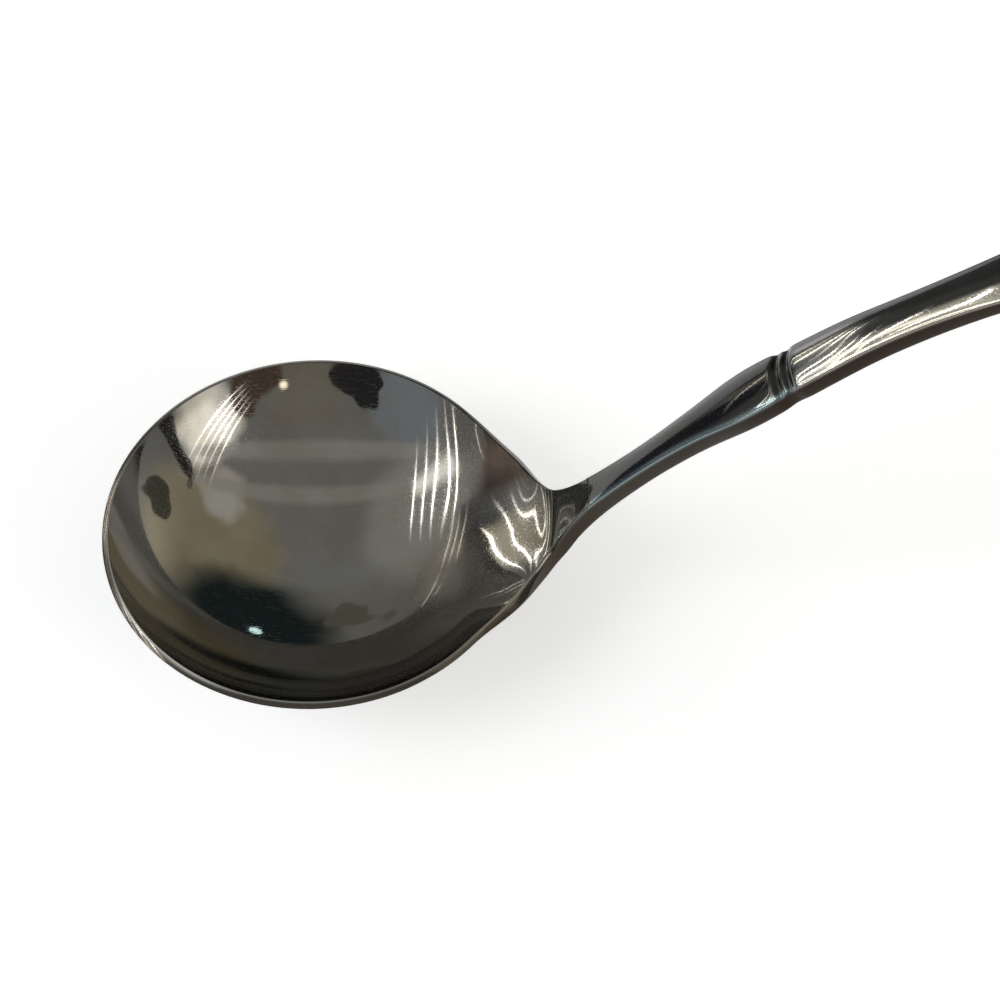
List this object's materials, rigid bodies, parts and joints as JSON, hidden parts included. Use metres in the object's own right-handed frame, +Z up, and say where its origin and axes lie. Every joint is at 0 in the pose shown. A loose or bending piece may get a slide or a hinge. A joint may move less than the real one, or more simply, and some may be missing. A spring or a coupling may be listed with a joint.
{
  "type": "gravy ladle",
  "caption": "Polished steel gravy ladle: a round bowl that flares into a slender, arched handle with a decorative pinch and a rounded end, for dipping and pouring sauce.",
  "frame": {"origin": "middle of the small flat under the bowl", "axes": "+Z up, square to the bowl's rim; +X from the bowl towards the handle; +Y to the left of the handle"},
  "size_m": [0.1626, 0.062, 0.0909],
  "materials": {
    "bowl_steel": "polished, with fine scratches from use",
    "handle_steel": "polished, with darker sides"
  },
  "bodies": {
    "root": {"bowl": "bowl_steel", "handle": "handle_steel"}
  },
  "joints": []
}
